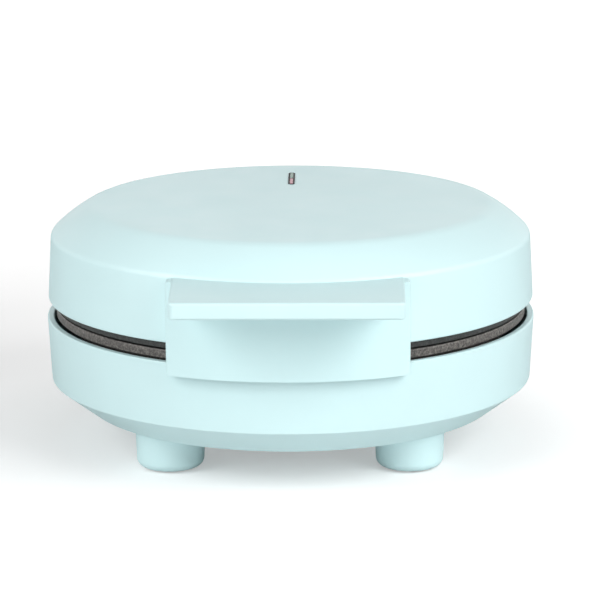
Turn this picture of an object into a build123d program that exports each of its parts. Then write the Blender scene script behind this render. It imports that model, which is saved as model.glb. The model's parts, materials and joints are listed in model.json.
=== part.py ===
from build123d import *
from math import atan2, cos, degrees, pi, radians, sin, sqrt, tan
import os

os.makedirs("parts", exist_ok=True)

# A bubble waffle maker: two round shells, hinged at the rear, around two cast plates of round wells.
# All sizes are millimetres. Heights are above the table, radii are from the body's upright axis.
# The handle is at the front, on -Y, and the hinge at the rear, on +Y.

# Round body, base half
body_radius = 110.0
foot_height = 18.0
base_depth = 45.2
rim_drop = 4.4
rim_growth = 0.6
base_draft = 1.5
chamfer_rise = 12.1
chamfer_run = 16.7
shell_wall = 3.2
edge_round = 0.8

# Round body, lid half
lid_depth = 45.7
lid_edge_rise = 3.8
lid_draft = 1.6
shoulder_drop = 13.0
shoulder_run = 19.4
shoulder_round = 4.0
shoulder_crown = 0.9
top_round = 12.0

# Feet
foot_inset = 18.5
foot_radius = 15.6
foot_draft = 0.8
foot_round = 3.8
foot_floor = 4.0
pad_radius = 9.2
pad_thickness = 2.4
pad_proud = 0.6
pad_round = 0.4

# Cast plates
plate_gap = 0.6
plate_inset = 3.6
plate_rim_width = 5.0
plate_edge_height = 3.6
land_depth = 2.1
web_thickness = 3.5
casting_wall = 3.0
well_margin = 6.18
well_spacing = 4.6
well_depth = 10.5
well_lip_round = 0.9
plate_edge_round = 0.6
plate_boss_radius = 5.0
boss_spacing = 8.8
boss_reach = 16.2

# Tubular heating elements
heater_inset = 52.4
heater_tube_radius = 3.25
heater_depth = 18.0
heater_gap_angle = 40.0
heater_bend_radius = 7.0
heater_leg = 3.0
rib_side = 2.3
ceramic_radius = 3.5
ceramic_length = 4.0
pin_radius = 1.2
pin_length = 4.0

# Heat shields
shield_depth = 26.5
shield_inset = 8.4
shield_thickness = 0.8
shield_lip = 4.0
shield_centre_radius = 19.0
lead_notch_width = 50.0
lead_notch_depth = 18.0

# Screws
screw_radius = 1.5
screw_head_radius = 3.0
screw_head_height = 2.0
screw_head_round = 0.6
screw_bite = 7.0
screw_hole_spare = 1.0
screw_head_sink = 0.4
screw_head_web = 5.0
base_boss_radius = 4.6
base_boss_shoulder = 2.0

# Handle
grip_length = 35.0
handle_rise = 32.3
handle_lip = 7.2
handle_wall = 3.0
grip_front_half_width = 48.3
grip_rear_half_width = 49.3
skirt_half_width = 51.6
skirt_standoff = 5.5
skirt_depth = 41.0
grip_corner_round = 2.5
lip_round = 1.1
skirt_round = 1.6
skirt_step = 0.5
handle_screw_drop = 14.8
handle_screw_angle = 16.0
handle_boss_wall = 2.5
handle_screw_skin = 0.9

# Hinge
hinge_standoff = 9.0
hinge_barrel_radius = 7.5
hinge_pin_radius = 2.5
hinge_bush_wall = 1.5
hinge_arm_width = 13.2
hinge_ear_width = 6.0
hinge_inner_ear = 16.0
hinge_side_gap = 0.4
hinge_edge_round = 0.8
hinge_pin_proud = 0.5
hinge_pin_chamfer = 0.4
ear_foot = 8.0
ear_knee = 13.0
ear_head = 3.0
arm_foot = 1.0
arm_height = 20.0
arm_slope = 40.0

# Lamp window
window_inset = 36.6
window_length = 28.0
window_width = 2.9
window_frame = 0.4
window_proud = 0.3
window_flange_thickness = 1.2
window_flange_width = 2.0
lens_bar = 0.8
lens_round = 0.4

# Lamp holder behind the window
lamp_radius = 2.6
lamp_length = 5.5
lamp_round = 1.6
lamp_screw_reach = 23.0
lamp_post_radius = 3.4
lamp_post_drop = 2.0
holder_length = 36.0
holder_width = 11.0
holder_depth = 9.0
holder_base = 1.0
holder_lug_width = 7.5
holder_lug_thickness = 2.0

# Thermostat, under the middle well of the base plate
thermostat_radius = 8.2
thermostat_neck_radius = 6.0
thermostat_cap = 2.5
thermostat_neck = 7.0
thermostat_screw_spacing = 27.0
thermostat_pad_rise = 1.0
tab_spacing = 7.0
tab_thickness = 0.8
tab_width = 5.0
tab_length = 6.0
strap_thickness = 0.8
strap_width = 16.0
strap_end = 3.5
strap_screw_bite = 4.5

# Terminal block, thermal fuse and earth screw
block_inset = 21.3
block_width = 30.0
block_depth = 14.0
block_height = 12.0
block_pole_pitch = 9.0
block_pole_radius = 2.2
block_pole_depth = 4.0
fuse_side = 34.0
fuse_offset = 20.0
fuse_radius = 2.4
fuse_half_length = 11.0
clip_thickness = 0.7
clip_length = 8.0
clip_wing = 4.0
earth_head_radius = 3.4
earth_head_height = 2.4
earth_shank_radius = 1.8
earth_shank = 3.0

# Inlet for the mains lead
gland_rise = 8.5
gland_bore_radius = 3.6
gland_body_radius = 6.5
gland_flange_radius = 8.4
gland_length = 13.0
gland_flange = 3.0
gland_flange_taper = 8.0
gland_seat_depth = 0.8
clamp_inset = 4.2
clamp_rise = 9.0
clamp_spacing = 20.0
clamp_post_radius = 3.6
clamp_width = 8.0
clamp_end = 4.5
clamp_thickness = 3.0
clamp_grip = 2.2

# Wires and their sleeve
lead_radius = 1.1
thin_lead_radius = 0.7
bundle_radius = 1.8
wire_bend = 2.5
conduit_radius = 3.0
conduit_drop = 12.5
conduit_bend = 7.5
conduit_tail = 3.0

# Clearances
seat_gap = 0.1
slip_gap = 0.2
running_gap = 0.05
clear_gap = 1.0
cutter_spare = 5.0

# Heights of the two halves
floor_height = foot_height
chamfer_height = floor_height + chamfer_rise
parting_height = floor_height + base_depth
rim_height = parting_height - rim_drop
lid_edge_height = parting_height + lid_edge_rise
top_height = parting_height + lid_depth
shoulder_height = top_height - shoulder_drop
handle_height = parting_height + handle_rise
handle_screw_height = handle_height - handle_screw_drop
skirt_bottom = handle_height - skirt_depth
gland_height = chamfer_height + gland_rise

# Radii of the body and of what it holds
rim_radius = body_radius + rim_growth
chamfer_radius = rim_radius - base_draft
floor_radius = body_radius - chamfer_run
shoulder_radius = body_radius - lid_draft
top_flat_radius = body_radius - shoulder_run
foot_circle_radius = floor_radius - foot_inset
skirt_radius = body_radius + skirt_standoff
plate_radius = body_radius - plate_inset
shield_radius = plate_radius - shield_inset
lead_notch_radius = shield_radius - lead_notch_depth
heater_circle_radius = plate_radius - heater_inset

# The wells lie in a close pattern of three rings without its six corners, so the farthest wells
# are the square root of seven pitches from the middle
well_reach = plate_radius - plate_rim_width - well_margin + well_spacing / 2
well_pitch = well_reach / (sqrt(7) + 1 / 2)
well_radius = (well_pitch - well_spacing) / 2
boss_circle_radius = 2 * well_pitch + well_radius + boss_spacing

# Places from front to rear: the part's origin is under the middle of its length
handle_reach = body_radius + grip_length
hinge_offset = body_radius + hinge_standoff
hinge_reach = hinge_offset + hinge_barrel_radius
axis_y = (handle_reach - hinge_reach) / 2
hinge_y = axis_y + hinge_offset
window_offset = top_flat_radius - window_inset
window_y = axis_y + window_offset
block_offset = floor_radius - block_inset

# Derived places
body_axis = Axis((0, axis_y, 0), (0, 0, 1))
parting_plane = Plane.XY.offset(parting_height)
face_height = parting_height - plate_gap / 2
land_height = face_height - land_depth
web_height = land_height - web_thickness
well_sphere_radius = (well_radius**2 + well_depth**2) / (2 * well_depth)
well_centre_height = land_height - well_depth + well_sphere_radius
heater_height = parting_height - heater_depth
shield_height = parting_height - shield_depth
boss_top_height = face_height - boss_reach - land_depth
floor_top = floor_height + shell_wall
foot_taper = degrees(atan2(foot_draft, floor_top - pad_proud))
ceiling = top_height - shell_wall
wall_reach = body_radius - floor_radius + cutter_spare
base_seat = shield_height - screw_head_web
pad_face = heater_height + thermostat_pad_rise
outer_ear = hinge_inner_ear + hinge_ear_width + hinge_arm_width + 2 * hinge_side_gap
arm_start = hinge_inner_ear + hinge_ear_width + hinge_side_gap


def level(height):
    """A horizontal plane, centred on the body's axis."""
    return Plane((0, axis_y, height))


def meridian(angle=0.0):
    """An upright plane from the body's axis outwards: x is the radius and y the height."""
    turn = radians(angle)
    return Plane((0, axis_y, 0), x_dir=(cos(turn), sin(turn), 0), z_dir=(sin(turn), -cos(turn), 0))


def outward(angle, radius, height):
    """A plane that faces outwards at an angle, a radius and a height."""
    turn = radians(angle)
    place = (radius * cos(turn), axis_y + radius * sin(turn), height)
    return Plane(place, z_dir=(cos(turn), sin(turn), 0))


def polar(radius, angle):
    """A point in a level plane, from its radius and its angle in degrees."""
    return (radius * cos(radians(angle)), radius * sin(radians(angle)))


def lid_wall_radius(height):
    """The lid's outer radius at a height on its drafted wall."""
    climb = (height - lid_edge_height) / (shoulder_height - lid_edge_height)
    return body_radius - lid_draft * climb


def base_wall_radius(height):
    """The base's outer radius at a height on its drafted wall."""
    climb = (rim_height - height) / (rim_height - chamfer_height)
    return rim_radius - base_draft * climb


def lead(*points, radius=lead_radius, bend=wire_bend):
    """One wire along straight runs with rounded corners."""
    with BuildPart() as wire:
        with BuildLine() as route:
            FilletPolyline(*points, radius=bend)
        with BuildSketch(Plane(route.line @ 0, z_dir=route.line % 0)):
            Circle(radius)
        sweep(path=route.line)
    return wire.part


def machine_screw(place, shank, head=screw_head_height):
    """A pan-head screw: the plane's z points from the head into the work, from under the head."""
    with BuildPart() as screw:
        with BuildSketch(place):
            Circle(screw_radius)
        extrude(amount=shank)
        with BuildSketch(place):
            Circle(screw_head_radius)
        extrude(amount=-head)
        fillet(screw.edges().filter_by(GeomType.CIRCLE).group_by(SortBy.RADIUS)[-1][0], screw_head_round)
        with BuildSketch(place.offset(-head)):
            Rectangle(screw_head_radius * 1.2, screw_radius * 0.5)
            Rectangle(screw_radius * 0.5, screw_head_radius * 1.2)
        extrude(amount=head / 2, mode=Mode.SUBTRACT)
    return screw.part


def save(piece, name):
    """Label one piece and write its file."""
    piece.label = name
    export_step(piece, f"parts/{name}.step")


# Where things repeat around the body
boss_turns = (60, 120, 240, 300)
foot_turns = (45, 135, 225, 315)
boss_places = [polar(boss_circle_radius, angle) for angle in boss_turns]
foot_places = [polar(foot_circle_radius, angle) for angle in foot_turns]
well_places = []
for row in range(-3, 4):
    columns = 7 - abs(row)
    for column in range(columns):
        x = (column - (columns - 1) / 2) * well_pitch
        y = row * well_pitch * sqrt(3) / 2
        if sqrt(x**2 + y**2) < 2.9 * well_pitch:
            well_places.append((x, y))
print("wells in each plate", len(well_places))

# Base housing: a bowl with a chamfered floor, four hollow feet, screw bosses and two pairs of hinge ears
chamfer_slope = atan2(chamfer_height - floor_height, chamfer_radius - floor_radius)
base_floor_inner = floor_radius - shell_wall * tan(chamfer_slope / 2)
base_chamfer_inner = chamfer_height + shell_wall * tan((pi / 2 - chamfer_slope) / 2)
clamp_y = axis_y + base_floor_inner - clamp_inset
clamp_height = floor_top + clamp_rise
clamp_places = [(-clamp_spacing / 2, clamp_y), (clamp_spacing / 2, clamp_y)]
conduit_low = parting_height - conduit_drop
gland_seat = base_wall_radius(gland_height) - gland_seat_depth

# Hinge ears, one pair on each side of the middle
with BuildPart() as hinge_ears:
    for start in (hinge_inner_ear, outer_ear):
        with BuildSketch(Plane.YZ.offset(start)):
            with Locations((hinge_y, parting_height)):
                Circle(hinge_barrel_radius)
            with BuildLine():
                Polyline(
                    (axis_y + floor_radius, chamfer_height + ear_foot),
                    (axis_y + chamfer_radius, chamfer_height + ear_foot),
                    (hinge_y + hinge_barrel_radius, parting_height - ear_knee),
                    (hinge_y + hinge_barrel_radius, parting_height),
                    (hinge_y - hinge_barrel_radius, parting_height),
                    (hinge_y - hinge_barrel_radius, rim_height - ear_head),
                    (axis_y + floor_radius, rim_height - ear_head),
                    close=True,
                )
            make_face()
        extrude(amount=hinge_ear_width)
    fillet(hinge_ears.edges().filter_by(Plane.YZ), hinge_edge_round)
    mirror(about=Plane.YZ)

with BuildPart() as lower_housing:
    with BuildSketch(meridian()):
        with BuildLine():
            Polyline(
                (0, floor_height),
                (floor_radius, floor_height),
                (chamfer_radius, chamfer_height),
                (rim_radius, rim_height),
                (0, rim_height),
                close=True,
            )
        make_face()
    revolve(axis=body_axis)
    fillet(lower_housing.edges().filter_by(GeomType.CIRCLE), edge_round)
    add(hinge_ears.part)
    # The hollow of the bowl
    with BuildSketch(meridian()):
        with BuildLine():
            Polyline(
                (0, floor_top),
                (base_floor_inner, floor_top),
                (chamfer_radius - shell_wall, base_chamfer_inner),
                (rim_radius - shell_wall, rim_height),
                (rim_radius - shell_wall, rim_height + 1),
                (0, rim_height + 1),
                close=True,
            )
        make_face()
    revolve(axis=body_axis, mode=Mode.SUBTRACT)
    fillet(
        lower_housing.edges()
        .filter_by(GeomType.CIRCLE)
        .filter_by_position(Axis.Z, rim_height - 0.01, rim_height + 0.01)
        .sort_by(SortBy.RADIUS)[0],
        edge_round,
    )
    # Feet, each a hollow post with a recess below for its pad
    with BuildSketch(level(floor_top)):
        with Locations(*foot_places):
            Circle(foot_radius)
    extrude(amount=pad_proud - floor_top, taper=foot_taper)
    foot_edges = lower_housing.edges().filter_by(GeomType.CIRCLE).group_by(Axis.Z)[0]
    fillet(foot_edges, foot_round)
    with BuildSketch(level(floor_top)):
        with Locations(*foot_places):
            Circle(foot_radius - shell_wall)
    extrude(amount=pad_proud + foot_floor - floor_top, taper=foot_taper, mode=Mode.SUBTRACT)
    with BuildSketch(level(pad_proud)):
        with Locations(*foot_places):
            Circle(pad_radius + slip_gap)
    extrude(amount=pad_thickness - pad_proud, mode=Mode.SUBTRACT)
    # Bosses that carry the shield on their shoulders and the plate on their ends
    with BuildSketch(level(floor_height + shell_wall / 2)):
        with Locations(*boss_places):
            Circle(base_boss_radius + base_boss_shoulder)
    extrude(amount=shield_height - floor_height - shell_wall / 2)
    with BuildSketch(level(shield_height)):
        with Locations(*boss_places):
            Circle(base_boss_radius)
    extrude(amount=boss_top_height - shield_height)
    with BuildSketch(level(floor_height)):
        with Locations(*boss_places):
            Circle(screw_head_radius + slip_gap)
    extrude(amount=base_seat - floor_height, mode=Mode.SUBTRACT)
    with BuildSketch(level(floor_height)):
        with Locations(*boss_places):
            Circle(screw_radius + slip_gap)
    extrude(amount=boss_top_height - floor_height, mode=Mode.SUBTRACT)
    # Posts of the cord clamp
    with BuildSketch(Plane.XY.offset(floor_top - shell_wall / 2)):
        with Locations(*clamp_places):
            Circle(clamp_post_radius)
    extrude(amount=clamp_height - floor_top + shell_wall / 2)
    with BuildSketch(Plane.XY.offset(clamp_height)):
        with Locations(*clamp_places):
            Circle(screw_radius + seat_gap)
    extrude(amount=-screw_bite, mode=Mode.SUBTRACT)
    # Holes at the rear for the gland and for the wires' sleeve, then the pins' holes
    with BuildSketch(outward(90, floor_radius, gland_height)):
        Circle(gland_body_radius + seat_gap)
    extrude(amount=wall_reach, mode=Mode.SUBTRACT)
    with BuildSketch(outward(90, gland_seat, gland_height)):
        Circle(gland_flange_radius + slip_gap)
    extrude(amount=gland_flange_radius, mode=Mode.SUBTRACT)
    with BuildSketch(outward(90, floor_radius, conduit_low)):
        Circle(conduit_radius + slip_gap)
    extrude(amount=wall_reach, mode=Mode.SUBTRACT)
    with BuildSketch(Plane.YZ):
        with Locations((hinge_y, parting_height)):
            Circle(hinge_pin_radius + seat_gap)
    extrude(amount=body_radius, both=True, mode=Mode.SUBTRACT)
save(lower_housing.part, "lower_housing")

# Rubber pads under the feet
with BuildPart() as foot_pads:
    with BuildSketch(level(0)):
        with Locations(*foot_places):
            Circle(pad_radius)
    extrude(amount=pad_thickness)
    fillet(foot_pads.edges().group_by(Axis.Z)[0], pad_round)
save(foot_pads.part, "foot_pads")

# Lid shell: the same bowl turned over, with a flat top, a sloped shoulder and a straight wall
lid_slope = atan2(top_height - shoulder_height, shoulder_radius - top_flat_radius)
lid_ceiling_inner = top_flat_radius - shell_wall * tan(lid_slope / 2)
lid_shoulder_inner = shoulder_height - shell_wall * tan((pi / 2 - lid_slope) / 2)


def lid_form(grow=0.0):
    """The lid's outer form, solid; it can be grown to cut what fits against it."""
    with BuildPart() as form:
        with BuildSketch(meridian()):
            with BuildLine():
                slope_end = (shoulder_radius + grow, shoulder_height + grow / 2)
                slope_top = (top_flat_radius + grow / 2, top_height + grow)
                Polyline((0, lid_edge_height), (body_radius + grow, lid_edge_height), slope_end)
                SagittaArc(slope_end, slope_top, -shoulder_crown)
                Polyline(slope_top, (0, top_height + grow), (0, lid_edge_height))
            make_face()
        revolve(axis=body_axis)
        circles = form.edges().filter_by(Plane.XY).sort_by(Axis.Z)
        fillet(circles[0], edge_round)
        fillet(circles[1], shoulder_round)
        fillet(circles[2], top_round)
    return form.part


lid_solid = lid_form()
lid_cutter = lid_form(seat_gap)
lid_boss_end = 2 * parting_height - boss_top_height
upper_shield_height = 2 * parting_height - shield_height
handle_screw_turns = (270 - handle_screw_angle, 270, 270 + handle_screw_angle)
lamp_screw_places = [(0, window_offset - lamp_screw_reach), (0, window_offset + lamp_screw_reach)]
arm_end, arm_end_rise = polar(hinge_barrel_radius, arm_slope)

# Hinge arms, one between each pair of ears
with BuildPart() as hinge_arms:
    with BuildSketch(Plane.YZ.offset(arm_start)):
        with Locations((hinge_y, parting_height)):
            Circle(hinge_barrel_radius)
        with BuildLine():
            Polyline(
                (axis_y + top_flat_radius, lid_edge_height + arm_foot),
                (axis_y + top_flat_radius, lid_edge_height + arm_height),
                (axis_y + shoulder_radius - shell_wall / 2, lid_edge_height + arm_height),
                (hinge_y + arm_end, parting_height + arm_end_rise),
                (hinge_y, parting_height),
                (hinge_y - hinge_barrel_radius, parting_height),
                (hinge_y - hinge_barrel_radius, lid_edge_height + arm_foot),
                close=True,
            )
        make_face()
    extrude(amount=hinge_arm_width)
    fillet(hinge_arms.edges().filter_by(Plane.YZ), hinge_edge_round)
    mirror(about=Plane.YZ)

with BuildPart() as upper_housing:
    add(lid_solid)
    add(hinge_arms.part)
    # The hollow of the lid
    with BuildSketch(meridian()):
        with BuildLine():
            Polyline((0, lid_edge_height - 1), (0, ceiling), (lid_ceiling_inner, ceiling))
            inner_slope_end = (shoulder_radius - shell_wall, lid_shoulder_inner)
            SagittaArc((lid_ceiling_inner, ceiling), inner_slope_end, shoulder_crown)
            Polyline(
                inner_slope_end,
                (body_radius - shell_wall, lid_edge_height),
                (body_radius - shell_wall, lid_edge_height - 1),
                (0, lid_edge_height - 1),
            )
        make_face()
    revolve(axis=body_axis, mode=Mode.SUBTRACT)
    # Bosses for the plate's screws, with shoulders for the shield
    with BuildSketch(level(ceiling + shell_wall / 2)):
        with Locations(*boss_places):
            Circle(base_boss_radius + base_boss_shoulder)
    extrude(amount=upper_shield_height - ceiling - shell_wall / 2)
    with BuildSketch(level(upper_shield_height)):
        with Locations(*boss_places):
            Circle(base_boss_radius)
    extrude(amount=lid_boss_end - upper_shield_height)
    with BuildSketch(level(lid_boss_end)):
        with Locations(*boss_places):
            Circle(screw_radius + seat_gap)
    extrude(amount=screw_bite + screw_hole_spare, mode=Mode.SUBTRACT)
    # Posts for the lamp holder
    with BuildSketch(level(ceiling + shell_wall / 2)):
        with Locations(*lamp_screw_places):
            Circle(lamp_post_radius)
    extrude(amount=-shell_wall / 2 - lamp_post_drop)
    with BuildSketch(level(ceiling - lamp_post_drop)):
        with Locations(*lamp_screw_places):
            Circle(screw_radius + seat_gap)
    extrude(amount=lamp_post_drop + shell_wall / 2, mode=Mode.SUBTRACT)
    # Window slot, holes for the handle's screws, the wires' sleeve and the hinge bushes
    with BuildSketch(Plane((0, window_y, ceiling))):
        SlotOverall(window_length + 2 * seat_gap, window_width + 2 * seat_gap, rotation=90)
    extrude(amount=shell_wall, mode=Mode.SUBTRACT)
    for angle in handle_screw_turns:
        with BuildSketch(outward(angle, top_flat_radius, handle_screw_height)):
            Circle(screw_radius + slip_gap)
        extrude(amount=body_radius - top_flat_radius, mode=Mode.SUBTRACT)
    with BuildSketch(outward(90, top_flat_radius, parting_height + conduit_drop)):
        Circle(conduit_radius + slip_gap)
    extrude(amount=wall_reach, mode=Mode.SUBTRACT)
    with BuildSketch(Plane.YZ):
        with Locations((hinge_y, parting_height)):
            Circle(hinge_pin_radius + running_gap + hinge_bush_wall + seat_gap / 2)
    extrude(amount=body_radius, both=True, mode=Mode.SUBTRACT)
save(upper_housing.part, "upper_housing")

# Handle: a flat grip with turned-down edges, and a curved skirt that stands off the wall
grip_rear_y = axis_y - top_flat_radius
front_y = axis_y - handle_reach
grip_depth = grip_rear_y - front_y


def grip_outline(inset=0.0):
    """The grip seen from above: it widens evenly from its front to where it meets the lid's top."""
    front = grip_front_half_width - inset
    rear = grip_rear_half_width - inset
    front_edge = [(-front, front_y + inset), (front, front_y + inset)]
    return front_edge + [(rear, grip_rear_y), (-rear, grip_rear_y)]


# The skirt is a slice of a ring, with side walls that close it against the lid
skirt_top = handle_height - skirt_step
side_x = skirt_half_width - handle_wall / 2
side_front = axis_y - sqrt((skirt_radius - handle_wall / 2) ** 2 - side_x**2)
side_mid = (side_front + grip_rear_y) / 2
with BuildPart() as skirt:
    with BuildSketch(level(skirt_bottom)):
        Circle(skirt_radius)
        Circle(skirt_radius - handle_wall, mode=Mode.SUBTRACT)
        with Locations((0, -skirt_radius)):
            Rectangle(2 * skirt_half_width, skirt_radius, mode=Mode.INTERSECT)
    extrude(amount=skirt_top - skirt_bottom)
    with BuildSketch(Plane.XY.offset(lid_edge_height + clear_gap)):
        with Locations((-side_x, side_mid), (side_x, side_mid)):
            Rectangle(handle_wall, grip_rear_y - side_front)
    extrude(amount=skirt_top - lid_edge_height - clear_gap)
    outer_edges = [edge for edge in skirt.edges() if abs(edge.center().X) > skirt_half_width - 0.01]
    corners = [edge for edge in outer_edges if edge.length > skirt_depth - skirt_step - 0.1]
    tops = [edge for edge in outer_edges if edge.center().Z > skirt_top - 0.01]
    fillet(corners + tops, skirt_round)

with BuildPart() as handle:
    with BuildSketch(Plane.XY.offset(handle_height)):
        with BuildLine():
            Polyline(*grip_outline(), close=True)
        make_face()
    extrude(amount=-handle_lip)
    fillet(handle.edges().filter_by(Axis.Z).sort_by(Axis.Y)[:2], grip_corner_round)
    fillet(handle.edges().filter_by(Axis.X).group_by(Axis.Y)[0], lip_round)
    # The hollow below the grip
    with BuildSketch(Plane.XY.offset(handle_height - handle_wall)):
        with BuildLine():
            Polyline(*grip_outline(handle_wall), close=True)
        make_face()
    extrude(amount=-handle_lip, mode=Mode.SUBTRACT)
    add(skirt.part)
    # Bosses for the three screws
    boss_start = body_radius - shell_wall
    for angle in handle_screw_turns:
        with BuildSketch(outward(angle, boss_start, handle_screw_height)):
            Circle(screw_radius + handle_boss_wall)
        extrude(amount=skirt_radius - handle_wall / 2 - boss_start)
    # What the lid's own form takes away
    add(lid_cutter, mode=Mode.SUBTRACT)
    for angle in handle_screw_turns:
        with BuildSketch(outward(angle, boss_start, handle_screw_height)):
            Circle(screw_radius + seat_gap)
        extrude(amount=skirt_radius - handle_screw_skin - boss_start, mode=Mode.SUBTRACT)
save(handle.part, "handle")

# Screws of the handle, from inside the lid
seat = lid_wall_radius(handle_screw_height + screw_head_radius) - shell_wall - seat_gap
shank = skirt_radius - handle_screw_skin - slip_gap - seat
screws = [machine_screw(outward(angle, seat, handle_screw_height), shank) for angle in handle_screw_turns]
with BuildPart() as handle_screws:
    add(screws)
save(handle_screws.part, "handle_screws")


thermostat_pad_length = thermostat_screw_spacing + 2 * (screw_head_radius + clear_gap)
thermostat_pad_width = 2 * (thermostat_radius + clear_gap)


def half_plate():
    """The casting of the base plate: rim, lands, wells with their backs, heater rib and bosses."""
    with BuildPart() as plate:
        # Bulges behind the wells, then everything above the lands comes off
        with BuildSketch(level(web_height)):
            Circle(plate_radius - plate_rim_width / 2)
        extrude(amount=web_thickness)
        with BuildSketch(level(heater_height)):
            Circle(heater_circle_radius + heater_tube_radius + rib_side)
            Circle(heater_circle_radius - heater_tube_radius - rib_side, mode=Mode.SUBTRACT)
        extrude(amount=web_height - heater_height)
        with BuildSketch(level(boss_top_height)):
            with Locations(*boss_places):
                Circle(plate_boss_radius)
        extrude(amount=web_height - boss_top_height)
        with BuildSketch(level(pad_face)):
            RectangleRounded(thermostat_pad_length, thermostat_pad_width, casting_wall)
        extrude(amount=web_height - pad_face)
        with Locations(*[(x, axis_y + y, well_centre_height) for x, y in well_places]):
            Sphere(well_sphere_radius + casting_wall)
        with BuildSketch(level(land_height)):
            Circle(plate_radius + cutter_spare)
        extrude(amount=2 * (well_sphere_radius + casting_wall), mode=Mode.SUBTRACT)
        # The rim all round
        with BuildSketch(level(face_height - plate_edge_height)):
            Circle(plate_radius)
            Circle(plate_radius - plate_rim_width, mode=Mode.SUBTRACT)
        extrude(amount=plate_edge_height)
        # The wells
        with Locations(*[(x, axis_y + y, well_centre_height) for x, y in well_places]):
            Sphere(well_sphere_radius, mode=Mode.SUBTRACT)
        mouths = plate.edges().filter_by(GeomType.CIRCLE)
        mouths = mouths.filter_by_position(Axis.Z, land_height - 0.01, land_height + 0.01)
        fillet([edge for edge in mouths if abs(edge.radius - well_radius) < 0.1], well_lip_round)
        rims = plate.edges().filter_by(GeomType.CIRCLE).group_by(Axis.Z)[-1]
        fillet(rims, plate_edge_round)
        # The groove that holds the heating element
        with BuildSketch(meridian()):
            with Locations((heater_circle_radius, heater_height)):
                Circle(heater_tube_radius + seat_gap)
        revolve(axis=body_axis, mode=Mode.SUBTRACT)
    return plate.part


plate_casting = half_plate()

with BuildPart() as lower_plate:
    add(plate_casting)
    with BuildSketch(level(boss_top_height)):
        with Locations(*boss_places):
            Circle(screw_radius + seat_gap)
    extrude(amount=screw_bite + screw_hole_spare, mode=Mode.SUBTRACT)
    with BuildSketch(level(pad_face)):
        with GridLocations(thermostat_screw_spacing, 0, 2, 1):
            Circle(screw_radius + seat_gap)
    extrude(amount=strap_screw_bite + seat_gap, mode=Mode.SUBTRACT)
save(lower_plate.part, "lower_plate")

upper_land = 2 * parting_height - land_height
with BuildPart() as upper_plate:
    mirror(plate_casting, about=parting_plane)
    with BuildSketch(level(upper_land)):
        with Locations(*boss_places):
            Circle(screw_radius + slip_gap)
    extrude(amount=lid_boss_end - upper_land, mode=Mode.SUBTRACT)
    with BuildSketch(level(upper_land)):
        with Locations(*boss_places):
            Circle(screw_head_radius + slip_gap)
    extrude(amount=screw_head_height + screw_head_sink, mode=Mode.SUBTRACT)
save(upper_plate.part, "upper_plate")

# Screws of the two plates: from below through the base's bosses, and from the lid plate's lands
shank = boss_top_height - base_seat + screw_bite
screws = [machine_screw(Plane((x, axis_y + y, base_seat)), shank) for x, y in boss_places]
with BuildPart() as lower_plate_screws:
    add(screws)
save(lower_plate_screws.part, "lower_plate_screws")

lid_seat = upper_land + screw_head_height + screw_head_sink
shank = lid_boss_end + screw_bite - lid_seat
screws = [machine_screw(Plane((x, axis_y + y, lid_seat)), shank) for x, y in boss_places]
with BuildPart() as upper_plate_screws:
    add(screws)
save(upper_plate_screws.part, "upper_plate_screws")

# Heating elements: most of a ring, with both ends turned towards the terminals
gap_half = heater_gap_angle / 2
end_angle = 90 - gap_half
end_place = polar(heater_circle_radius, end_angle)
radial = (cos(radians(end_angle)), sin(radians(end_angle)))
leg_x = end_place[0] - heater_bend_radius * radial[1]
leg_y = axis_y + end_place[1] + heater_bend_radius * radial[0]
leg_top = heater_height - heater_bend_radius
leg_bottom = leg_top - heater_leg
with BuildPart() as lower_heater:
    with BuildSketch(meridian(90 + gap_half)):
        with Locations((heater_circle_radius, heater_height)):
            Circle(heater_tube_radius)
    revolve(axis=body_axis, revolution_arc=360 - heater_gap_angle)
    with BuildSketch(meridian(end_angle)):
        with Locations((heater_circle_radius, heater_height)):
            Circle(heater_tube_radius)
    bend_centre = (end_place[0], axis_y + end_place[1], leg_top)
    revolve(axis=Axis(bend_centre, (-radial[0], -radial[1], 0)), revolution_arc=90)
    with BuildSketch(Plane((leg_x, leg_y, leg_top))):
        Circle(heater_tube_radius)
    extrude(amount=-heater_leg)
    with BuildSketch(meridian(180 - end_angle)):
        with Locations((heater_circle_radius, heater_height)):
            Circle(heater_tube_radius)
    left_centre = (-end_place[0], axis_y + end_place[1], leg_top)
    revolve(axis=Axis(left_centre, (-radial[0], radial[1], 0)), revolution_arc=90)
    with BuildSketch(Plane((-leg_x, leg_y, leg_top))):
        Circle(heater_tube_radius)
    extrude(amount=-heater_leg)
save(lower_heater.part, "lower_heater")

with BuildPart() as upper_heater:
    mirror(lower_heater.part, about=parting_plane)
save(upper_heater.part, "upper_heater")

# Ceramic ends of the elements, each with its connecting pin
with BuildPart() as lower_heater_terminals:
    with BuildSketch(Plane.XY.offset(leg_bottom)):
        with Locations((-leg_x, leg_y), (leg_x, leg_y)):
            Circle(ceramic_radius)
    extrude(amount=-ceramic_length)
    with BuildSketch(Plane.XY.offset(leg_bottom - ceramic_length)):
        with Locations((-leg_x, leg_y), (leg_x, leg_y)):
            Circle(pin_radius)
    extrude(amount=-pin_length)
save(lower_heater_terminals.part, "lower_heater_terminals")

with BuildPart() as upper_heater_terminals:
    mirror(lower_heater_terminals.part, about=parting_plane)
save(upper_heater_terminals.part, "upper_heater_terminals")


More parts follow.
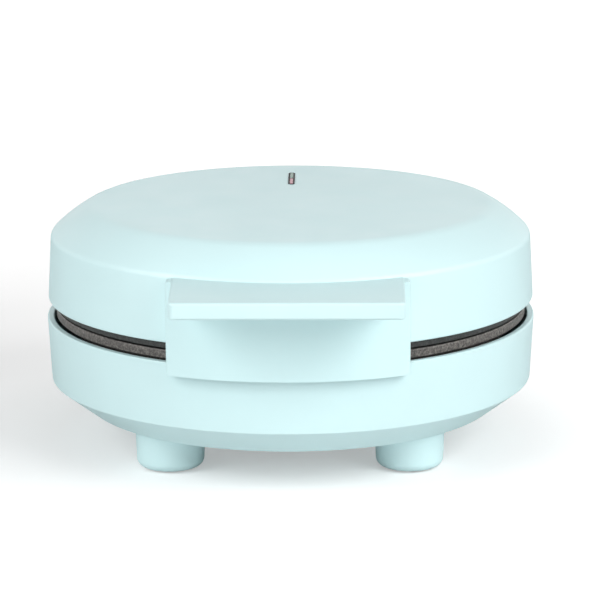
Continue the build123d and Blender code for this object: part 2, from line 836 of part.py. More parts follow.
def heat_shield():
    """A pressed dish with a turned-up edge, holes for the bosses and legs, and a notch for the lead."""
    with BuildPart() as shield:
        with BuildSketch(level(shield_height)):
            Circle(shield_radius)
        extrude(amount=shield_lip)
        with BuildSketch(level(shield_height + shield_thickness)):
            Circle(shield_radius - shield_thickness)
        extrude(amount=shield_lip, mode=Mode.SUBTRACT)
        with BuildSketch(level(shield_height)):
            Circle(shield_centre_radius)
            with Locations(*boss_places):
                Circle(base_boss_radius + slip_gap)
            with Locations((-leg_x, leg_y - axis_y), (leg_x, leg_y - axis_y)):
                Circle(heater_tube_radius + clear_gap)
            with Locations((0, (shield_radius + cutter_spare + lead_notch_radius) / 2)):
                Rectangle(lead_notch_width, shield_radius + cutter_spare - lead_notch_radius)
        extrude(amount=shield_lip, mode=Mode.SUBTRACT)
    return shield.part


shield_form = heat_shield()
with BuildPart() as lower_heat_shield:
    add(shield_form)
save(lower_heat_shield.part, "lower_heat_shield")

with BuildPart() as upper_heat_shield:
    mirror(shield_form, about=parting_plane)
save(upper_heat_shield.part, "upper_heat_shield")

# Thermostat: a disc against the plate's pad, held by a strap with two screws
cap_bottom = pad_face - thermostat_cap
thermostat_bottom = cap_bottom - thermostat_neck
with BuildPart() as thermostat:
    with BuildSketch(level(pad_face)):
        Circle(thermostat_radius)
    extrude(amount=-thermostat_cap)
    with BuildSketch(level(cap_bottom)):
        Circle(thermostat_neck_radius)
    extrude(amount=-thermostat_neck)
    with BuildSketch(level(thermostat_bottom)):
        with GridLocations(tab_spacing, 0, 2, 1):
            Rectangle(tab_thickness, tab_width)
    extrude(amount=-tab_length)
save(thermostat.part, "thermostat")

strap_top = cap_bottom - strap_thickness
strap_knee = thermostat_radius + slip_gap
strap_half = thermostat_screw_spacing / 2 + strap_end
with BuildPart() as thermostat_strap:
    with BuildSketch(Plane((0, axis_y, 0), x_dir=(1, 0, 0), z_dir=(0, -1, 0))):
        with BuildLine():
            Polyline(
                (-strap_half, pad_face),
                (-strap_knee, pad_face),
                (-strap_knee, cap_bottom),
                (strap_knee, cap_bottom),
                (strap_knee, pad_face),
                (strap_half, pad_face),
                (strap_half, pad_face - strap_thickness),
                (strap_knee + strap_thickness, pad_face - strap_thickness),
                (strap_knee + strap_thickness, strap_top),
                (-strap_knee - strap_thickness, strap_top),
                (-strap_knee - strap_thickness, pad_face - strap_thickness),
                (-strap_half, pad_face - strap_thickness),
                close=True,
            )
        make_face()
    extrude(amount=strap_width / 2, both=True)
    with BuildSketch(level(strap_top)):
        Circle(thermostat_neck_radius + slip_gap)
    extrude(amount=strap_thickness, mode=Mode.SUBTRACT)
    with BuildSketch(level(pad_face)):
        with GridLocations(thermostat_screw_spacing, 0, 2, 1):
            Circle(screw_radius + slip_gap)
    extrude(amount=-strap_thickness, mode=Mode.SUBTRACT)
save(thermostat_strap.part, "thermostat_strap")

strap_screw_places = [(-thermostat_screw_spacing / 2, axis_y), (thermostat_screw_spacing / 2, axis_y)]
shank = strap_thickness + strap_screw_bite - slip_gap
screws = [machine_screw(Plane((x, y, pad_face - strap_thickness)), shank) for x, y in strap_screw_places]
with BuildPart() as thermostat_screws:
    add(screws)
save(thermostat_screws.part, "thermostat_screws")

# Terminal block on the floor of the base, with three screw poles
block_y = axis_y + block_offset
with BuildPart() as terminal_block:
    with BuildSketch(Plane((0, block_y, floor_top))):
        Rectangle(block_width, block_depth)
    extrude(amount=block_height)
    chamfer(terminal_block.edges().group_by(Axis.Z)[-1], edge_round)
    with BuildSketch(Plane((0, block_y, floor_top + block_height))):
        with GridLocations(block_pole_pitch, 0, 3, 1):
            Circle(block_pole_radius)
    extrude(amount=-block_pole_depth, mode=Mode.SUBTRACT)
save(terminal_block.part, "terminal_block")

# Thermal fuse in its sleeve, held under the shield by a clip
fuse_x = -fuse_side
fuse_y = axis_y + fuse_offset
fuse_height = shield_height - fuse_radius - seat_gap
with BuildPart() as thermal_fuse:
    with BuildSketch(Plane((fuse_x, fuse_y - fuse_half_length, fuse_height), z_dir=(0, 1, 0))):
        Circle(fuse_radius)
    extrude(amount=2 * fuse_half_length)
    chamfer(thermal_fuse.edges().filter_by(GeomType.CIRCLE), 0.5)
save(thermal_fuse.part, "thermal_fuse")

clip_inner = fuse_radius + seat_gap
clip_outer = clip_inner + clip_thickness
clip_top = shield_height - fuse_height
with BuildPart() as fuse_clip:
    clip_start = (fuse_x, fuse_y - clip_length / 2, fuse_height)
    with BuildSketch(Plane(clip_start, x_dir=(-1, 0, 0), z_dir=(0, 1, 0))):
        Circle(clip_outer)
        with Locations((0, clip_top / 2)):
            Rectangle(2 * clip_outer, clip_top)
        with Locations((0, clip_top - clip_thickness / 2)):
            Rectangle(2 * (clip_outer + clip_wing), clip_thickness)
        Circle(clip_inner, mode=Mode.SUBTRACT)
        with Locations((0, clip_top / 2)):
            Rectangle(2 * clip_inner, clip_top, mode=Mode.SUBTRACT)
        with Locations((0, clip_top + clip_outer / 2)):
            Rectangle(2 * clip_outer, clip_outer, mode=Mode.SUBTRACT)
    extrude(amount=clip_length)
save(fuse_clip.part, "fuse_clip")

# Earth screw, up through the shield
earth_x = fuse_side
earth_y = fuse_y
with BuildPart() as earth_screw:
    with BuildSketch(Plane((earth_x, earth_y, shield_height))):
        RegularPolygon(earth_head_radius, 6)
    extrude(amount=-earth_head_height)
    with BuildSketch(Plane((earth_x, earth_y, shield_height - earth_head_height))):
        Circle(earth_shank_radius)
    extrude(amount=-earth_shank)
save(earth_screw.part, "earth_screw")

# Gland for the mains lead, through the rear wall: a flanged bush with a snap ring inside
gland_face = axis_y + gland_seat
with BuildPart() as cord_gland:
    with BuildSketch(Plane((0, gland_face, gland_height), z_dir=(0, 1, 0))):
        Circle(gland_flange_radius)
    extrude(amount=gland_flange, taper=gland_flange_taper)
    with BuildSketch(Plane((0, gland_face, gland_height), z_dir=(0, -1, 0))):
        Circle(gland_body_radius)
    extrude(amount=gland_length - gland_flange)
    with BuildSketch(Plane((0, gland_face + gland_flange, gland_height), z_dir=(0, -1, 0))):
        Circle(gland_bore_radius)
    extrude(amount=gland_length, mode=Mode.SUBTRACT)
save(cord_gland.part, "cord_gland")

# Clamp bar that holds the mains lead, and its screws
with BuildPart() as cord_clamp:
    with BuildSketch(Plane((0, clamp_y, clamp_height))):
        SlotOverall(clamp_spacing + 2 * clamp_end, clamp_width)
    extrude(amount=clamp_thickness)
    with BuildSketch(Plane((0, clamp_y, clamp_height))):
        with GridLocations(clamp_spacing, 0, 2, 1):
            Circle(screw_radius + slip_gap)
    extrude(amount=clamp_thickness, mode=Mode.SUBTRACT)
    with BuildSketch(Plane((0, clamp_y, clamp_height - clamp_grip), z_dir=(0, 1, 0))):
        Circle(gland_bore_radius)
    extrude(amount=clamp_width, both=True, mode=Mode.SUBTRACT)
save(cord_clamp.part, "cord_clamp")

bar_top = clamp_height + clamp_thickness
shank = clamp_thickness + screw_bite - screw_hole_spare
screws = [machine_screw(Plane((x, y, bar_top), z_dir=(0, 0, -1)), shank) for x, y in clamp_places]
with BuildPart() as cord_clamp_screws:
    add(screws)
save(cord_clamp_screws.part, "cord_clamp_screws")

# Hinge: two steel pins fixed in the ears, and a bush in each arm that turns on its pin
pin_start = hinge_inner_ear - hinge_pin_proud
pin_end = outer_ear + hinge_ear_width + hinge_pin_proud
with BuildPart() as hinge_pins:
    with BuildSketch(Plane.YZ.offset(pin_start)):
        with Locations((hinge_y, parting_height)):
            Circle(hinge_pin_radius)
    extrude(amount=pin_end - pin_start)
    chamfer(hinge_pins.edges().filter_by(GeomType.CIRCLE), hinge_pin_chamfer)
    mirror(about=Plane.YZ)
save(hinge_pins.part, "hinge_pins")

with BuildPart() as hinge_bushes:
    with BuildSketch(Plane.YZ.offset(arm_start)):
        with Locations((hinge_y, parting_height)):
            Circle(hinge_pin_radius + running_gap + hinge_bush_wall)
            Circle(hinge_pin_radius + running_gap, mode=Mode.SUBTRACT)
    extrude(amount=hinge_arm_width)
    mirror(about=Plane.YZ)
save(hinge_bushes.part, "hinge_bushes")

# Sleeve that takes the wires past the hinge
conduit_high = parting_height + conduit_drop
conduit_in = axis_y + base_wall_radius(conduit_low) - shell_wall - conduit_tail
conduit_out = hinge_y + hinge_barrel_radius - conduit_radius - clear_gap
sleeve = lead(
    (0, conduit_in, conduit_low),
    (0, conduit_out, conduit_low),
    (0, conduit_out, conduit_high),
    (0, conduit_in, conduit_high),
    radius=conduit_radius,
    bend=conduit_bend,
)
save(sleeve, "hinge_conduit")

# Lamp window: a dark frame with a green and a red lens, a holder behind it and two lamps
flange_height = ceiling - window_flange_thickness
with BuildPart() as window_bezel:
    with BuildSketch(Plane((0, window_y, ceiling))):
        SlotOverall(window_length, window_width, rotation=90)
    extrude(amount=shell_wall + window_proud)
    with BuildSketch(Plane((0, window_y, ceiling))):
        flange_spread = 2 * window_flange_width
        SlotOverall(window_length + flange_spread, window_width + flange_spread, rotation=90)
    extrude(amount=-window_flange_thickness)
    with BuildSketch(Plane((0, window_y, flange_height))):
        SlotOverall(window_length - 2 * window_frame, window_width - 2 * window_frame, rotation=90)
        Rectangle(window_width, lens_bar, mode=Mode.SUBTRACT)
    extrude(amount=2 * shell_wall, mode=Mode.SUBTRACT)
save(window_bezel.part, "window_bezel")

lens_width = window_width - 2 * window_frame - 2 * seat_gap
lens_length = window_length - 2 * window_frame - 2 * seat_gap
for name, side in (("green_lens", 1), ("red_lens", -1)):
    with BuildPart() as lens:
        with BuildSketch(Plane((0, window_y, flange_height))):
            SlotOverall(lens_length, lens_width, rotation=90)
            with Locations((0, -side * lens_length / 2)):
                Rectangle(window_width, lens_length + lens_bar + 2 * seat_gap, mode=Mode.SUBTRACT)
        extrude(amount=shell_wall + window_flange_thickness + window_proud)
        fillet(lens.edges().group_by(Axis.Z)[-1], lens_round)
    save(lens.part, name)

lamp_spacing = window_length / 2
lug_length = 2 * (lamp_screw_reach + holder_lug_width / 2)
lug_height = ceiling - lamp_post_drop
with BuildPart() as lamp_holder:
    with BuildSketch(Plane((0, window_y, ceiling))):
        Rectangle(holder_width, holder_length)
    extrude(amount=-holder_depth)
    with BuildSketch(Plane((0, window_y, ceiling))):
        flange_room = 2 * (window_flange_width + slip_gap)
        SlotOverall(window_length + flange_room, window_width + flange_room, rotation=90)
    extrude(amount=-window_flange_thickness - seat_gap, mode=Mode.SUBTRACT)
    with BuildSketch(Plane((0, window_y, ceiling))):
        with GridLocations(0, lamp_spacing, 1, 2):
            Circle(lamp_radius + slip_gap)
    extrude(amount=-holder_depth + holder_base, mode=Mode.SUBTRACT)
    # Lugs that meet the lid's posts
    with BuildSketch(Plane((0, window_y, lug_height))):
        SlotOverall(lug_length, holder_lug_width, rotation=90)
        Rectangle(holder_width - seat_gap, holder_length - seat_gap, mode=Mode.SUBTRACT)
    extrude(amount=-holder_lug_thickness)
    with BuildSketch(level(lug_height)):
        with Locations(*lamp_screw_places):
            Circle(screw_radius + slip_gap)
    extrude(amount=-holder_lug_thickness, mode=Mode.SUBTRACT)
save(lamp_holder.part, "lamp_holder")

lug_face = lug_height - holder_lug_thickness
shank = ceiling + shell_wall / 2 - slip_gap - lug_face
screws = [machine_screw(Plane((x, axis_y + y, lug_face)), shank) for x, y in lamp_screw_places]
with BuildPart() as lamp_holder_screws:
    add(screws)
save(lamp_holder_screws.part, "lamp_holder_screws")

lamp_base = ceiling - holder_depth + holder_base + seat_gap
with BuildPart() as signal_lamps:
    with BuildSketch(Plane((0, window_y, lamp_base))):
        with GridLocations(0, lamp_spacing, 1, 2):
            Circle(lamp_radius)
    extrude(amount=lamp_length)
    fillet(signal_lamps.edges().group_by(Axis.Z)[-1], lamp_round)
save(signal_lamps.part, "signal_lamps")

# Wires in the base, each along its own route
pin_low = leg_bottom - ceramic_length - pin_length / 2
touch = pin_radius + seat_gap
block_front = block_y - block_depth / 2 - seat_gap
tab_end = thermostat_bottom - tab_length - seat_gap
tab_x = tab_spacing / 2
wire_height = floor_top + 4
low_wire = floor_top + 1.5
pole_x = block_pole_pitch / 2
fuse_front = fuse_y - fuse_half_length - seat_gap
fuse_rear = fuse_y + fuse_half_length + seat_gap
earth_end = shield_height - earth_head_height - earth_shank - seat_gap
wire_routes = [
    [
        (-pole_x, block_front, wire_height),
        (-pole_x, axis_y + 38, wire_height),
        (-tab_x, axis_y + 9, wire_height),
        (-tab_x, axis_y, wire_height + 1),
        (-tab_x, axis_y, tab_end),
    ],
    [
        (tab_x, axis_y, tab_end),
        (tab_x, axis_y, wire_height),
        (leg_x, axis_y + 20, wire_height),
        (leg_x, leg_y - touch, pin_low),
    ],
    [
        (-leg_x, leg_y - touch, pin_low),
        (-leg_x, leg_y - 14, pin_low),
        (fuse_x, fuse_rear + 10, fuse_height),
        (fuse_x, fuse_rear, fuse_height),
    ],
    [
        (fuse_x, fuse_front, fuse_height),
        (fuse_x, fuse_front - 8, fuse_height),
        (fuse_x - 7, fuse_y - 12, wire_height),
        (fuse_x - 4, block_y - 8, wire_height),
        (-block_width / 2 - 10, block_y, wire_height),
        (-block_width / 2 - seat_gap, block_y, wire_height),
    ],
    [
        (pole_x, block_front, low_wire),
        (pole_x, block_front - 16, low_wire),
        (earth_x, earth_y + 16, low_wire),
        (earth_x, earth_y, wire_height),
        (earth_x, earth_y, earth_end),
    ],
]
wires = [lead(*route) for route in wire_routes]
with BuildPart() as lower_leads:
    add(wires)
save(lower_leads.part, "lower_leads")

# Bundle from the terminal block up to the sleeve
bundle_height = wire_height + 2
bundle = lead(
    (block_width / 2 + seat_gap, block_y, bundle_height),
    (block_width / 2 + 7, block_y, bundle_height),
    (block_width / 2 + 6, clamp_y, clamp_height + 4),
    (6, conduit_in - 8, conduit_low - 4),
    (0, conduit_in - 5, conduit_low),
    (0, conduit_in - seat_gap, conduit_low),
    radius=bundle_radius,
    bend=wire_bend,
)
save(bundle, "supply_leads")

# Wires in the lid: from the sleeve to the element's pins, and on to the lamps
pin_high = 2 * parting_height - pin_low
lamp_wire = ceiling - holder_depth - seat_gap
wires = []
for side in (-1, 1):
    lamp_y = window_y - side * lamp_spacing / 2
    element_wire = lead(
        (side * 1.4, conduit_in - seat_gap, conduit_high),
        (side * 1.4, conduit_in - 5, conduit_high),
        (side * 8, axis_y + 88, pin_high),
        (side * leg_x, axis_y + 76, pin_high),
        (side * leg_x, leg_y + touch, pin_high),
        bend=wire_bend,
    )
    lamp_lead = lead(
        (side * leg_x, leg_y - touch, pin_high),
        (side * leg_x, leg_y - 4, pin_high),
        (side * leg_x, leg_y - 9, pin_high - 3),
        (side * 3, lamp_y - 2, lamp_wire - 2.5),
        (0, lamp_y, lamp_wire - 2.2),
        (0, lamp_y, lamp_wire),
        radius=thin_lead_radius,
        bend=1.0,
    )
    wires += [element_wire, lamp_lead]
with BuildPart() as upper_leads:
    add(wires)
save(upper_leads.part, "upper_leads")
print("body axis at y", round(axis_y, 3), "hinge at", round(hinge_y, 3))
print("lands at", round(land_height, 3), "well sphere", round(well_sphere_radius, 3))
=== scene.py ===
# %% [markdown]
# A bubble waffle maker, dressed around its CAD frame.
# The frame holds every piece at its real size and place, in metres. This script gives each piece
# the finish of the real one, and rebuilds the pieces whose looks need more than a CAD solid.
# Nothing here moves a CAD piece: a new piece is made where the frame says the old one is.

# %% Load the frame
import json
import math

import bmesh
import bpy
from mathutils import Matrix, Vector

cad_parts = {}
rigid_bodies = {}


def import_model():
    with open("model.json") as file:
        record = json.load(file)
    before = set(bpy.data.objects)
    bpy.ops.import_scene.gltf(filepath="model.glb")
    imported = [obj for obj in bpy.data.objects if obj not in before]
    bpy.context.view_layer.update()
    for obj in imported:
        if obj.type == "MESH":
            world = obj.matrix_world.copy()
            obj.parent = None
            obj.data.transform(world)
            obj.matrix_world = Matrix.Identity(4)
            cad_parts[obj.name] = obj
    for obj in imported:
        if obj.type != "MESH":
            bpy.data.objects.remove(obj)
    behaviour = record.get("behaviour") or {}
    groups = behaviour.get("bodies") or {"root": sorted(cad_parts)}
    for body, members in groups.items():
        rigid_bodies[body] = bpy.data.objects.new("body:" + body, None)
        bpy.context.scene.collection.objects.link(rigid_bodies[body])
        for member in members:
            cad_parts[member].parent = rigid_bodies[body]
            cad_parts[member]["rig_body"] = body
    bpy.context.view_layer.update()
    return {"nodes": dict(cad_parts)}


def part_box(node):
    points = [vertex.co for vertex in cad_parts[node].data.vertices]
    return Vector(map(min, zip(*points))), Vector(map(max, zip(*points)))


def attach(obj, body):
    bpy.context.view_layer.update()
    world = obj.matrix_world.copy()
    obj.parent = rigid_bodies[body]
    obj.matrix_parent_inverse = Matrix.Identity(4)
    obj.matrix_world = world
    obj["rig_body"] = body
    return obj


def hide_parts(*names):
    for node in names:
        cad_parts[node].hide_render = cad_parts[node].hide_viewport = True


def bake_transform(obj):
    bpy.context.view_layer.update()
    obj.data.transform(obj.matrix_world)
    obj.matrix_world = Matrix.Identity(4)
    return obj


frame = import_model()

nodes = frame["nodes"]

# %% [markdown]
# The round body is the ruler of everything else. Its upright axis passes through the middle of the
# base plate. The lid's edge, which the camera aims at, lies a known height above the lower end of
# the handle's skirt. Sizes read from the frame let the script follow most changes of the CAD.

# %% Find the body's axis and the lid's edge
plate_low, plate_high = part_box("lower_plate")
lid_low, lid_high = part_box("upper_housing")
handle_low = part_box("handle")[0]
axis_y = (plate_low.y + plate_high.y) / 2
plate_radius = (plate_high.x - plate_low.x) / 2
lid_radius = (lid_high.x - lid_low.x) / 2
skirt_drop = 0.0125
lid_edge = handle_low.z + skirt_drop
print("body axis at y", round(axis_y, 5), "lid radius", round(lid_radius, 4))

# %% [markdown]
# The camera stands where the photograph says: about 1.3 m away, a little above the lid, with a
# long lens. A camera nearby would draw the handle larger against the lid, so the distance matters
# as much as the angle. The round edges of the body, seen as ellipses, gave the distance, the pitch
# and the slight roll.

# %% Camera at the photograph's angle
camera_distance = 1.32
camera_pitch = math.radians(13.18)
camera_turn = math.radians(0.5)
camera_roll = math.radians(0.22)
camera_lens = 173.6
camera_side = 0.0042
camera_drop = 0.0041
target = Vector((camera_side, axis_y, lid_edge - camera_drop))
level_forward = Vector((-math.sin(camera_turn), math.cos(camera_turn), 0))
forward = level_forward * math.cos(camera_pitch) - Vector((0, 0, math.sin(camera_pitch)))
camera_data = bpy.data.cameras.new("camera")
camera_data.lens = camera_lens
camera_data.sensor_width = 36.0
camera_data.clip_end = 20.0
camera = bpy.data.objects.new("camera", camera_data)
bpy.context.scene.collection.objects.link(camera)
camera.rotation_mode = "QUATERNION"
roll = Matrix.Rotation(-camera_roll, 3, "Z").to_quaternion()
camera.rotation_quaternion = forward.to_track_quat("-Z", "Y") @ roll
camera.location = target - camera_distance * forward
bpy.context.scene.camera = camera
bpy.context.scene.view_settings.view_transform = "Standard"
print("camera at", tuple(round(value, 3) for value in camera.location))


# %% [markdown]
# A material here is a small node tree on object coordinates, so that its grain keeps its real size
# on every piece and needs no unwrapping. The helpers make the tree, place a noise or a colour ramp
# in it, add small relief, and turn a colour as seen on screen into the number the shader needs.

# %% Helpers that build node trees
def new_material(name):
    """A material with a Principled shader and object coordinates, ready for its detail."""
    material = bpy.data.materials.new(name)
    material.use_nodes = True
    tree = material.node_tree
    shader = tree.nodes["Principled BSDF"]
    coordinates = tree.nodes.new("ShaderNodeTexCoord")
    return material, tree, shader, coordinates.outputs["Object"]


def noise(tree, vector, scale, detail=3.0, roughness=0.5):
    """A noise texture whose scale is in bumps per metre."""
    node = tree.nodes.new("ShaderNodeTexNoise")
    node.inputs["Scale"].default_value = scale
    node.inputs["Detail"].default_value = detail
    node.inputs["Roughness"].default_value = roughness
    tree.links.new(vector, node.inputs["Vector"])
    return node.outputs["Fac"]


def ramp(tree, factor, stops):
    """A colour ramp through (position, colour) stops; a single number is a grey."""
    node = tree.nodes.new("ShaderNodeValToRGB")
    elements = node.color_ramp.elements
    while len(elements) < len(stops):
        elements.new(0.5)
    for element, (position, colour) in zip(elements, stops):
        element.position = position
        shade = (colour, colour, colour) if isinstance(colour, float) else colour
        element.color = (*shade, 1.0)
    tree.links.new(factor, node.inputs["Fac"])
    return node.outputs["Color"]


def bump(tree, shader, height, strength, distance):
    """Small relief on the surface from a height texture; distance is its depth in metres."""
    node = tree.nodes.new("ShaderNodeBump")
    node.inputs["Strength"].default_value = strength
    node.inputs["Distance"].default_value = distance
    tree.links.new(height, node.inputs["Height"])
    tree.links.new(node.outputs["Normal"], shader.inputs["Normal"])


def linear(red, green, blue):
    """A colour picked as it looks on screen, 0 to 255, as the shader needs it."""
    def channel(value):
        share = value / 255
        return share / 12.92 if share <= 0.04045 else ((share + 0.055) / 1.055) ** 2.4
    return (channel(red), channel(green), channel(blue))


print("half grey on screen is", round(linear(128, 128, 128)[0], 3), "in the shader")

# %% [markdown]
# The shells are one moulded plastic in a pale mint. The mould was spark-eroded, which leaves a fine
# even grain that softens the gloss; the colour itself drifts by a few percent over the part. One
# flat colour with one gloss would look like wax, so both come from noises, in bumps per metre.

# %% Moulded plastics
drift_scale = 14.0
sheen_scale = 60.0
eroded_scale = 2600.0
eroded_depth = 0.00003


def moulded(name, colour, gloss=0.42, grain=0.25, drift=0.03, shine=0.5):
    """A moulded plastic with an even spark-eroded grain."""
    material, tree, shader, place = new_material(name)
    shader.inputs["Specular IOR Level"].default_value = shine
    dark = tuple(value * (1 - drift) for value in colour)
    broad = noise(tree, place, drift_scale, 2.0)
    tint = ramp(tree, broad, [(0.35, dark), (0.65, colour)])
    tree.links.new(tint, shader.inputs["Base Color"])
    patches = noise(tree, place, sheen_scale, 4.0)
    sheen = ramp(tree, patches, [(0.3, gloss - 0.04), (0.7, gloss + 0.05)])
    tree.links.new(sheen, shader.inputs["Roughness"])
    bump(tree, shader, noise(tree, place, eroded_scale, 2.0, 0.6), grain, eroded_depth)
    return material


mint = moulded("mint_shell_plastic", linear(211, 240, 242))
black_plastic = moulded("black_plastic", linear(30, 31, 33), gloss=0.38)
window_frame = moulded("window_frame_plastic", linear(34, 38, 38), gloss=0.5, shine=0.12)
white_plastic = moulded("lamp_carrier_plastic", linear(226, 226, 220), gloss=0.45)
nylon = moulded("hinge_nylon", linear(232, 229, 216), gloss=0.3, grain=0.1)
print("plastics made")


# %% [markdown]
# The plates are cast aluminium under a dark non-stick coat. The coat on the cooking face is smooth
# with a faint orange peel; on the outer edge it is thin, and the mottled casting shows through. Two
# materials could be painted on two sets of faces, but one is enough, because the distance from the
# body's axis tells the face from the edge.

# %% Non-stick coating over cast aluminium
fleck_scale = 1500.0
mottle_scale = 900.0
wear_scale = 300.0
peel_scale = 900.0
peel_depth = 0.00006
coat_thins = 0.0009
casting_shows = 0.0003


def coated_casting(name, edge_stops):
    """Dark coat with fine flecks; beyond the edge radius the edge stops show the casting's mottle,
    and for the upper plate painted shade too.
    """
    material, tree, shader, place = new_material(name)
    flecks = noise(tree, place, fleck_scale, 2.0, 0.7)
    coat_stops = [(0.42, linear(38, 38, 38)), (0.6, linear(58, 57, 55)), (0.72, linear(92, 90, 86))]
    coat = ramp(tree, flecks, coat_stops)
    # The edge stops hold the casting's mottle; for the upper plate they also hold painted shade.
    cast = ramp(tree, noise(tree, place, mottle_scale, 4.0, 0.7), edge_stops)
    centre = tree.nodes.new("ShaderNodeMapping")
    centre.inputs["Location"].default_value = (0, -axis_y, 0)
    centre.inputs["Scale"].default_value = (1, 1, 0)
    tree.links.new(place, centre.inputs["Vector"])
    radius = tree.nodes.new("ShaderNodeVectorMath")
    radius.operation = "LENGTH"
    tree.links.new(centre.outputs["Vector"], radius.inputs[0])
    edge = tree.nodes.new("ShaderNodeMapRange")
    edge.inputs["From Min"].default_value = plate_radius - coat_thins
    edge.inputs["From Max"].default_value = plate_radius - casting_shows
    tree.links.new(radius.outputs["Value"], edge.inputs["Value"])
    mix = tree.nodes.new("ShaderNodeMix")
    mix.data_type = "RGBA"
    tree.links.new(edge.outputs["Result"], mix.inputs["Factor"])
    tree.links.new(coat, mix.inputs["A"])
    tree.links.new(cast, mix.inputs["B"])
    tree.links.new(mix.outputs["Result"], shader.inputs["Base Color"])
    sheen = ramp(tree, noise(tree, place, wear_scale, 3.0), [(0.3, 0.38), (0.7, 0.52)])
    tree.links.new(sheen, shader.inputs["Roughness"])
    bump(tree, shader, noise(tree, place, peel_scale, 3.0), 0.35, peel_depth)
    return material


bare_edge = [(0.36, linear(54, 52, 50)), (0.5, linear(86, 82, 79)), (0.66, linear(130, 125, 120))]
# The upper plate's edge is darker: partly its darker coat, partly painted shade of the lid's
# overhang.
coat_and_painted_shade_edge = [(0.36, linear(36, 37, 37)), (0.5, linear(48, 51, 50)), (0.66, linear(70, 73, 72))]
lower_coating = coated_casting("lower_plate_coating", bare_edge)
upper_coating_and_painted_shade = coated_casting("upper_plate_coating", coat_and_painted_shade_edge)
print("coatings made")


# %% [markdown]
# Metals, ceramics, rubber and wire insulation are mostly hidden, but some show when the lid is open
# or from below, so each has its own grain: drawn lines on sheet, mottled oxide on the elements. A
# function for the metals and one for the dull materials keep them alike in all but a few numbers.

# %% Metals and the small materials
def metal(name, colour, gloss, streak=(1.0, 1.0, 1.0), scale=700.0, depth=0.00001):
    """A metal whose grain is stretched along the axis with the smallest streak value."""
    dark_share = 0.72
    material, tree, shader, place = new_material(name)
    stretch = tree.nodes.new("ShaderNodeMapping")
    stretch.inputs["Scale"].default_value = streak
    tree.links.new(place, stretch.inputs["Vector"])
    grain = noise(tree, stretch.outputs["Vector"], scale, 4.0, 0.6)
    dark = tuple(value * dark_share for value in colour)
    sheen = ramp(tree, grain, [(0.3, gloss + 0.1), (0.7, gloss - 0.05)])
    tree.links.new(ramp(tree, grain, [(0.3, dark), (0.65, colour)]), shader.inputs["Base Color"])
    tree.links.new(sheen, shader.inputs["Roughness"])
    shader.inputs["Metallic"].default_value = 1.0
    bump(tree, shader, grain, 0.3, depth)
    return material


zinc = metal("zinc_screws", linear(196, 197, 192), 0.3)
sheet_steel = metal("shield_steel", linear(205, 205, 202), 0.34, streak=(0.05, 1.0, 1.0))
sheath = metal("element_sheath", linear(112, 106, 100), 0.5, scale=260.0, depth=0.00003)


def soft(name, colour, gloss=0.75, scale=900.0, depth=0.00004, spread=0.25):
    """Rubber, sleeve or ceramic: a dull body colour with a fine mottle and relief."""
    material, tree, shader, place = new_material(name)
    grain = noise(tree, place, scale, 3.0, 0.6)
    dark = tuple(value * (1 - spread) for value in colour)
    tree.links.new(ramp(tree, grain, [(0.35, dark), (0.65, colour)]), shader.inputs["Base Color"])
    tree.links.new(ramp(tree, grain, [(0.3, gloss), (0.7, gloss - 0.1)]), shader.inputs["Roughness"])
    bump(tree, shader, grain, 0.4, depth)
    return material


rubber = soft("pad_rubber", linear(58, 58, 60))
ceramic = soft("ceramic", linear(232, 228, 216), gloss=0.35, scale=300.0, spread=0.06)
sleeve = soft("sleeve", linear(190, 192, 190), scale=1800.0)
insulation = soft("wire_insulation", linear(150, 96, 62), gloss=0.5, spread=0.12)
print("metals and small materials made")


# %% [markdown]
# The lenses are tinted plastic. Their colour is painted darker along their sides, as painted shade
# of the gap around them, and paler along their middle, as painted light of the lit lamp carrier
# behind them. The window is only a few pixels wide in the photograph, so this is a plain colour ramp
# that follows the distance from the window's centre line.

# %% Tinted lenses
ripple_scale = 1200.0
ripple_depth = 0.00002


def tinted_lens_painted_shade_and_light(name, rim, middle, half_width):
    """A tinted lens with painted shade along its sides and painted light of the carrier along its
    middle.
    """
    material, tree, shader, place = new_material(name)
    split = tree.nodes.new("ShaderNodeSeparateXYZ")
    tree.links.new(place, split.inputs["Vector"])
    side = tree.nodes.new("ShaderNodeMath")
    side.operation = "ABSOLUTE"
    tree.links.new(split.outputs["X"], side.inputs[0])
    share = tree.nodes.new("ShaderNodeMapRange")
    share.inputs["From Max"].default_value = half_width
    tree.links.new(side.outputs["Value"], share.inputs["Value"])
    # Painted shade at the sides, painted light in the middle.
    tint = ramp(tree, share.outputs["Result"], [(0.25, middle), (0.95, rim)])
    tree.links.new(tint, shader.inputs["Base Color"])
    shader.inputs["Roughness"].default_value = 0.2
    shader.inputs["Specular IOR Level"].default_value = 0.06
    bump(tree, shader, noise(tree, place, ripple_scale), 0.05, ripple_depth)
    return material


lens_low, lens_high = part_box("green_lens")
half_lens = (lens_high.x - lens_low.x) / 2
green = tinted_lens_painted_shade_and_light("green_lens_plastic", linear(24, 62, 45), linear(104, 142, 126), half_lens)
red = tinted_lens_painted_shade_and_light("red_lens_plastic", linear(98, 30, 46), linear(202, 134, 150), half_lens)
print("lenses made for a window", round(2000 * half_lens, 2), "mm wide")

# %% [markdown]
# The signal lamps behind the lenses are small glass bulbs. They are the one see-through material
# here, clear with a little smoke in it.

# %% Lamp glass
smoke_scale = 200.0
smoky = (0.8, 0.72, 0.65)
clear = (0.95, 0.9, 0.85)


def lamp_glass():
    """Clear glass of the signal lamps, a little smoky in patches."""
    material, tree, shader, place = new_material("lamp_glass")
    smoke = ramp(tree, noise(tree, place, smoke_scale), [(0.3, smoky), (0.7, clear)])
    tree.links.new(smoke, shader.inputs["Base Color"])
    shader.inputs["Transmission Weight"].default_value = 0.9
    shader.inputs["Roughness"].default_value = 0.06
    return material


lamp = lamp_glass()
print("made", lamp.name)

# %% [markdown]
# Every CAD node gets its finish. A list of names under each material keeps the whole scheme in one
# place, where it can be read like a parts list.

